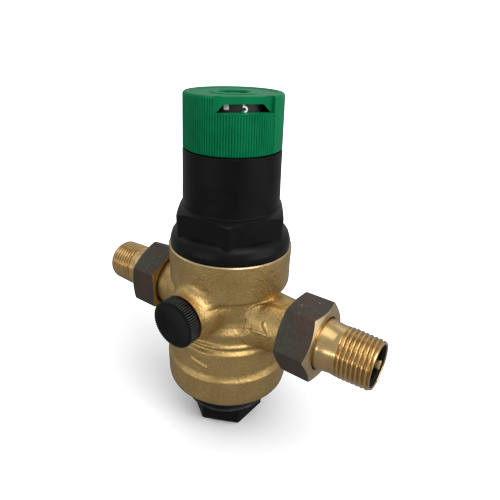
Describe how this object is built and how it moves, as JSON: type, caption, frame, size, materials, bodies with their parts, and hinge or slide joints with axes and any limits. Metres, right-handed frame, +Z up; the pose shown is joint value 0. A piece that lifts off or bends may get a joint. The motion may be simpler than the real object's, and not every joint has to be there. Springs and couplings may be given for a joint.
{
  "type": "water pressure regulator",
  "caption": "Diaphragm pressure regulator for a water line, with a cast body, union ends, plugged gauge ports, a spring bonnet and a scale knob.",
  "frame": {"origin": "centre of the bottom plug's flat face, under the body's axis", "axes": "+Z up along the body's axis, +X along the pipe towards the outlet, gauge ports face -Y and +Y"},
  "size_m": [0.143, 0.0752, 0.1562],
  "materials": {
    "cast_brass": "sand-cast and blasted, satin, with bright spots on its edges",
    "machined_brass": "turned, glossy",
    "nut_brass": "dark oxide skin on the flats, bright turned chamfers and faces",
    "black_plastic": "moulded glass-filled nylon, satin",
    "green_plastic": "moulded, finely ribbed, satin",
    "scale_black": "moulded, satin, with white printed numbers and squares",
    "natural_plastic": "moulded acetal, satin",
    "rubber": "moulded, matt",
    "steel": "drawn or turned, satin",
    "fibre": "pressed fibre, matt"
  },
  "bodies": {
    "casting": {"body": "cast_brass", "inlet_washer": "fibre", "outlet_washer": "fibre", "filter_frame": "natural_plastic", "filter_mesh": "steel", "valve_insert": "natural_plastic", "insert_upper_o_ring": "rubber", "insert_lower_o_ring": "rubber", "diaphragm": "rubber", "slip_ring": "natural_plastic", "adjusting_spring": "steel"},
    "inlet_nut": {"inlet_union_nut": "nut_brass"},
    "outlet_nut": {"outlet_union_nut": "nut_brass"},
    "inlet_tail": {"inlet_tailpiece": "machined_brass"},
    "outlet_tail": {"outlet_tailpiece": "machined_brass"},
    "front_plug": {"front_gauge_plug": "black_plastic", "front_gauge_o_ring": "rubber"},
    "rear_plug": {"rear_gauge_plug": "black_plastic", "rear_gauge_o_ring": "rubber"},
    "bottom_plug": {"bottom_plug": "black_plastic", "bottom_plug_o_ring": "rubber"},
    "bonnet": {"spring_bonnet": "black_plastic", "scale_ring": "scale_black"},
    "knob": {"adjusting_knob": "green_plastic", "adjusting_spindle": "machined_brass"},
    "lock_screw": {"lock_screw": "green_plastic"},
    "spring_nut": {"spring_nut": "machined_brass"},
    "stem": {"valve_stem": "machined_brass", "seal_nut": "steel", "seal_carrier": "steel", "valve_seal": "rubber", "piston_o_ring": "rubber", "diaphragm_lower_plate": "machined_brass", "spring_cup": "steel", "stem_nut": "steel"}
  },
  "joints": [
    {"name": "inlet_nut_turn", "type": "hinge", "parent": "casting", "child": "inlet_nut", "pos_m": [-0.041, 0, 0.062], "axis": [-1, 0, 0], "continuous": true},
    {"name": "outlet_nut_turn", "type": "hinge", "parent": "casting", "child": "outlet_nut", "pos_m": [0.041, 0, 0.062], "axis": [1, 0, 0], "continuous": true},
    {"name": "inlet_tail_swivel", "type": "hinge", "parent": "casting", "child": "inlet_tail", "pos_m": [-0.055, 0, 0.062], "axis": [-1, 0, 0], "continuous": true},
    {"name": "outlet_tail_swivel", "type": "hinge", "parent": "casting", "child": "outlet_tail", "pos_m": [0.055, 0, 0.062], "axis": [1, 0, 0], "continuous": true},
    {"name": "front_plug_turn", "type": "hinge", "parent": "casting", "child": "front_plug", "pos_m": [0, -0.0345, 0.0699], "axis": [0, -1, 0], "continuous": true},
    {"name": "rear_plug_turn", "type": "hinge", "parent": "casting", "child": "rear_plug", "pos_m": [0, 0.0345, 0.0699], "axis": [0, 1, 0], "continuous": true},
    {"name": "bottom_plug_turn", "type": "hinge", "parent": "casting", "child": "bottom_plug", "pos_m": [0, 0, 0.01], "axis": [0, 0, -1], "continuous": true},
    {"name": "bonnet_turn", "type": "hinge", "parent": "casting", "child": "bonnet", "pos_m": [0, 0, 0.11], "axis": [0, 0, 1], "continuous": true},
    {"name": "knob_turn", "type": "hinge", "parent": "bonnet", "child": "knob", "pos_m": [0, 0, 0.15], "axis": [0, 0, -1], "range_deg": [0, 252.1]},
    {"name": "lock_screw_turn", "type": "hinge", "parent": "knob", "child": "lock_screw", "pos_m": [0, 0, 0.154], "axis": [0, 0, 1], "range_deg": [0, 360]},
    {"name": "spring_nut_travel", "type": "slide", "parent": "bonnet", "child": "spring_nut", "axis": [0, 0, 1], "range_m": [0, 0.009], "deforming": ["adjusting_spring"]},
    {"name": "stem_travel", "type": "slide", "parent": "casting", "child": "stem", "axis": [0, 0, 1], "range_m": [0, 0.0025], "stiffness_N_per_m": 600, "springref_m": -0.004, "deforming": ["diaphragm", "adjusting_spring"]}
  ],
  "couplings": [
    {"joint": "knob_turn", "follows": "spring_nut_travel", "rad_per_m": 488.69}
  ]
}
